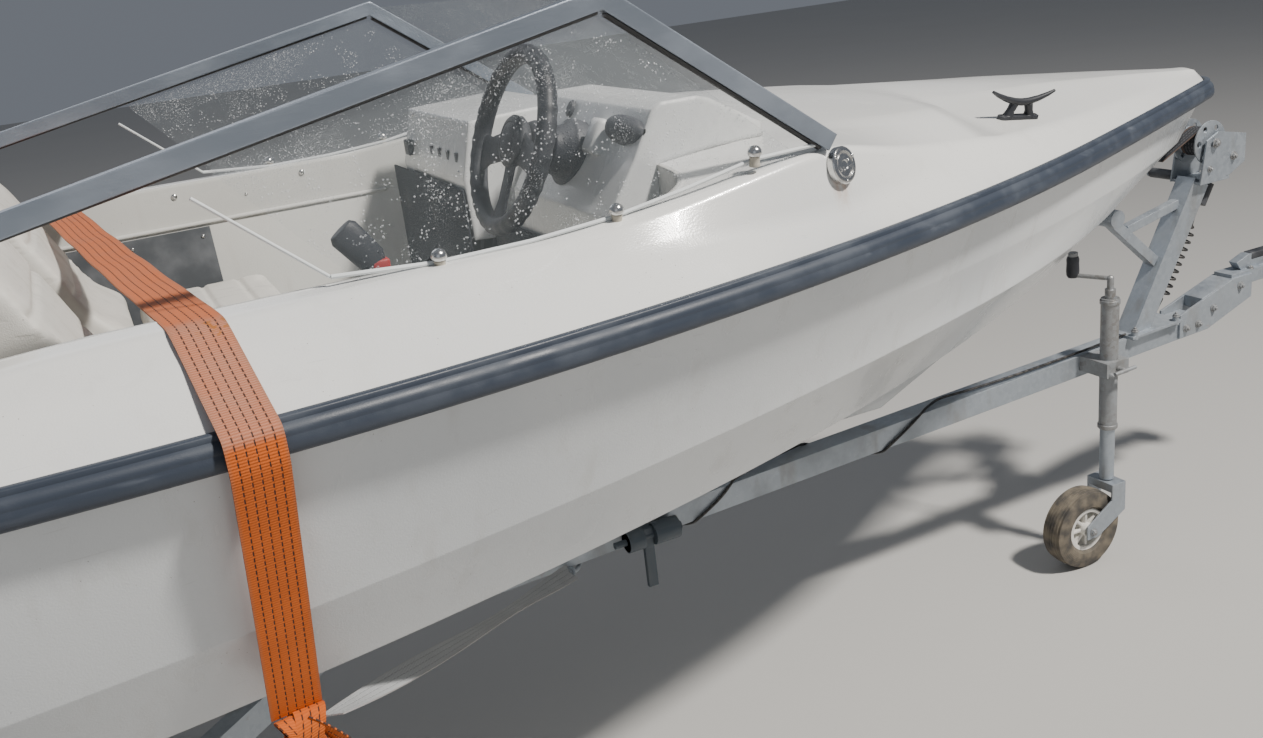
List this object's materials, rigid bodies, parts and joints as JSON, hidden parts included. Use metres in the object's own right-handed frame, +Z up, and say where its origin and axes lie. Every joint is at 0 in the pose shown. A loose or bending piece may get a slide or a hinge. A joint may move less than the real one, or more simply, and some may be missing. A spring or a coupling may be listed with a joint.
{
  "type": "speedboat on a road trailer",
  "caption": "Open runabout with wrap windscreen, helm console, back-to-back seats and tilting outboard, strapped to a galvanised road trailer with winch and jockey wheel.",
  "frame": {"origin": "on the ground, on the centreline, half way between the cowl's back and the coupling's front", "axes": "+X forward to the bow and the coupling, +Y to port, +Z up"},
  "size_m": [5.487, 1.849, 1.745],
  "materials": {
    "gelcoat": "gloss",
    "liner": "satin",
    "rail": "satin",
    "frame": "satin",
    "glass": "clear",
    "trim": "matt",
    "fittings": "polished",
    "vinyl": "satin",
    "orange_webbing": "woven",
    "grey_webbing": "woven",
    "galvanised": "spangled",
    "guard": "matt",
    "lamps": "gloss",
    "tyre": "matt",
    "rim": "satin",
    "roller": "matt",
    "bunk": "weathered",
    "engine": "gloss",
    "propeller": "satin",
    "cable": "matt"
  },
  "bodies": {
    "boat_and_trailer": {"hull": "gelcoat", "deck": "gelcoat", "motor_well": "gelcoat", "cockpit_liner": "liner", "helm_console": "liner", "port_console": "liner", "rub_rail": "rail", "screen_frames": "frame", "windscreen": "glass", "helm_instruments": "trim", "throttle_box": "trim", "dark_panels": "trim", "cleats": "trim", "deck_fittings": "fittings", "front_seats": "vinyl", "rear_bench": "vinyl", "tie_down_strap": "orange_webbing", "lashing_strap": "grey_webbing", "winch_strap": "grey_webbing", "drawbar": "galvanised", "side_rails": "galvanised", "cross_beams": "galvanised", "axle": "galvanised", "winch_post": "galvanised", "bow_stop": "galvanised", "roller_brackets": "galvanised", "jockey_tube": "galvanised", "coupling": "galvanised", "mudguards": "guard", "lamp_board": "lamps", "side_roller": "roller", "bunks": "bunk", "engine_clamp": "engine", "trailer_cable": "cable", "trailer_plug": "cable"},
    "engine_swivel_bracket": {"engine_swivel": "engine"},
    "engine": {"engine_leg": "engine", "engine_cowl": "engine"},
    "propeller": {"propeller": "propeller"},
    "steering_wheel": {"steering_wheel": "trim"},
    "road_wheel_port": {"tyre_port": "tyre", "rim_port": "rim"},
    "road_wheel_starboard": {"tyre_starboard": "tyre", "rim_starboard": "rim"},
    "winch": {"winch_drum": "galvanised"},
    "jockey_leg": {"jockey_leg": "galvanised"},
    "jockey_fork": {"jockey_fork": "galvanised"},
    "jockey_wheel": {"jockey_wheel": "tyre"},
    "jockey_crank": {"jockey_crank": "galvanised"},
    "keel_roller_1": {"keel_roller_1": "roller"},
    "keel_roller_2": {"keel_roller_2": "roller"},
    "keel_roller_3": {"keel_roller_3": "roller"}
  },
  "joints": [
    {"name": "engine_tilt", "type": "hinge", "parent": "boat_and_trailer", "child": "engine_swivel_bracket", "pos_m": [-2.2735, 0, 1.215], "axis": [0, 1, 0], "range_deg": [0, 65]},
    {"name": "engine_steer", "type": "hinge", "parent": "engine_swivel_bracket", "child": "engine", "pos_m": [-2.3785, 0, 1.085], "axis": [0, 0, 1], "range_deg": [-30, 30]},
    {"name": "propeller_spin", "type": "hinge", "parent": "engine", "child": "propeller", "pos_m": [-2.6205, 0, 0.47], "axis": [1, 0, 0], "continuous": true},
    {"name": "wheel_steer", "type": "hinge", "parent": "boat_and_trailer", "child": "steering_wheel", "pos_m": [0.2175, -0.25, 1.484], "axis": [0.9397, 0, -0.342], "range_deg": [-450, 450]},
    {"name": "road_wheel_port_spin", "type": "hinge", "parent": "boat_and_trailer", "child": "road_wheel_port", "pos_m": [-1.1485, 0.78, 0.281], "axis": [0, 1, 0], "continuous": true},
    {"name": "road_wheel_starboard_spin", "type": "hinge", "parent": "boat_and_trailer", "child": "road_wheel_starboard", "pos_m": [-1.1485, -0.78, 0.281], "axis": [0, 1, 0], "continuous": true},
    {"name": "winch_spin", "type": "hinge", "parent": "boat_and_trailer", "child": "winch", "pos_m": [2.3255, 0, 1.111], "axis": [0, 1, 0], "continuous": true},
    {"name": "jockey_height", "type": "slide", "parent": "boat_and_trailer", "child": "jockey_leg", "axis": [0, 0, 1], "range_m": [0, 0.14]},
    {"name": "jockey_swivel", "type": "hinge", "parent": "jockey_leg", "child": "jockey_fork", "pos_m": [1.8965, -0.095, 0.22], "axis": [0, 0, 1], "continuous": true},
    {"name": "jockey_wheel_spin", "type": "hinge", "parent": "jockey_fork", "child": "jockey_wheel", "pos_m": [1.8015, -0.095, 0.115], "axis": [0, 1, 0], "continuous": true},
    {"name": "jockey_crank_spin", "type": "hinge", "parent": "boat_and_trailer", "child": "jockey_crank", "pos_m": [1.8965, -0.095, 0.8], "axis": [0, 0, 1], "continuous": true},
    {"name": "keel_roller_1_spin", "type": "hinge", "parent": "boat_and_trailer", "child": "keel_roller_1", "pos_m": [-1.8285, 0, 0.5867], "axis": [0, 1, 0], "continuous": true},
    {"name": "keel_roller_2_spin", "type": "hinge", "parent": "boat_and_trailer", "child": "keel_roller_2", "pos_m": [-0.7485, 0, 0.5867], "axis": [0, 1, 0], "continuous": true},
    {"name": "keel_roller_3_spin", "type": "hinge", "parent": "boat_and_trailer", "child": "keel_roller_3", "pos_m": [0.5515, 0, 0.5867], "axis": [0, 1, 0], "continuous": true}
  ],
  "couplings": [
    {"joint": "wheel_steer", "follows": "engine_steer", "ratio": 15}
  ]
}
